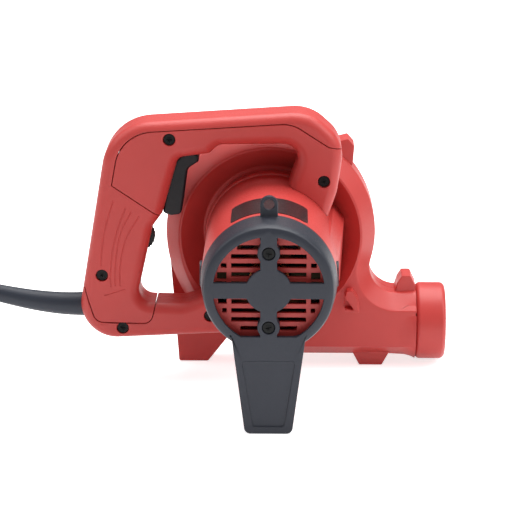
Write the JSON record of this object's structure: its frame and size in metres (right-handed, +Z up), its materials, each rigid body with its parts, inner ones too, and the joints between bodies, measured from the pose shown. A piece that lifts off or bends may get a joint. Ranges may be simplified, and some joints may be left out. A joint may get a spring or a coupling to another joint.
{
  "type": "corded hand-held electric blower",
  "caption": "Hand-held corded centrifugal blower: red scroll housing and round outlet, motor barrel with a dark slotted rear cover and stand, open D handle with trigger.",
  "frame": {"origin": "on the floor, under the middle of the blower's bounding box without its cord", "axes": "+Z up, +X along the air outlet, +Y along the motor shaft from the rear cover to the fan"},
  "size_m": [0.4457, 0.2513, 0.1855],
  "materials": {
    "red_shell": "fine satin texture, self-coloured",
    "dark_cover": "fine satin texture",
    "black_plastic": "satin",
    "fan_plastic": "satin, glass filled",
    "black_steel": "black oxide",
    "steel": "turned",
    "bearing_steel": "ground",
    "lamination": "stacked sheet",
    "cast_metal": "die cast",
    "copper_wire": "enamelled copper",
    "copper_bar": "turned copper",
    "brass": "satin",
    "carbon": "graphite",
    "rubber": "matte"
  },
  "bodies": {
    "housing": {"rear_cover": "dark_cover", "cover_screws": "black_steel", "motor_housing": "red_shell", "end_grille": "red_shell", "bearing_bracket": "cast_metal", "rear_bearing": "bearing_steel", "front_bearing": "bearing_steel", "stator_core": "lamination", "field_coils": "copper_wire", "brush_holders": "brass", "carbon_brushes": "carbon", "brush_caps": "dark_cover", "volute_near": "red_shell", "volute_far": "red_shell", "volute_screws": "black_steel", "outlet_collar": "red_shell", "intake_grille": "dark_cover", "grip_near": "red_shell", "lower_arm_near": "red_shell", "upper_arm_near": "red_shell", "grip_far": "red_shell", "lower_arm_far": "red_shell", "upper_arm_far": "red_shell", "handle_screws": "black_steel", "trigger_pin": "steel", "switch_body": "black_plastic", "dial_pin": "steel", "speed_module": "black_plastic", "cord_guard": "rubber", "cord_run": "rubber", "cord_coil": "rubber", "cord_tail": "rubber", "plug_body": "rubber", "plug_pins": "brass"},
    "rotor": {"armature_shaft": "steel", "armature_core": "lamination", "armature_windings": "copper_wire", "commutator": "copper_bar", "fan": "fan_plastic", "fan_washer": "steel", "fan_nut": "steel"},
    "trigger_lever": {"trigger": "black_plastic"},
    "lock": {"lock_button": "black_plastic"},
    "dial": {"speed_dial": "black_plastic"}
  },
  "joints": [
    {"name": "rotor_spin", "type": "hinge", "parent": "housing", "child": "rotor", "pos_m": [0.0032, 0.0054, 0.0948], "axis": [0, 1, 0], "continuous": true},
    {"name": "trigger_pull", "type": "hinge", "parent": "housing", "child": "trigger_lever", "pos_m": [-0.0568, 0.0233, 0.1613], "axis": [0, 1, 0], "range_deg": [0, 9], "stiffness_Nm_per_rad": 2, "springref_deg": -4.58},
    {"name": "lock_press", "type": "slide", "parent": "housing", "child": "lock", "axis": [0, -1, 0], "range_m": [0, 0.0024], "stiffness_N_per_m": 900, "springref_m": -0.001},
    {"name": "speed_turn", "type": "hinge", "parent": "housing", "child": "dial", "pos_m": [-0.0831, 0.0233, 0.0988], "axis": [0, 1, 0], "range_deg": [-140, 140]}
  ]
}
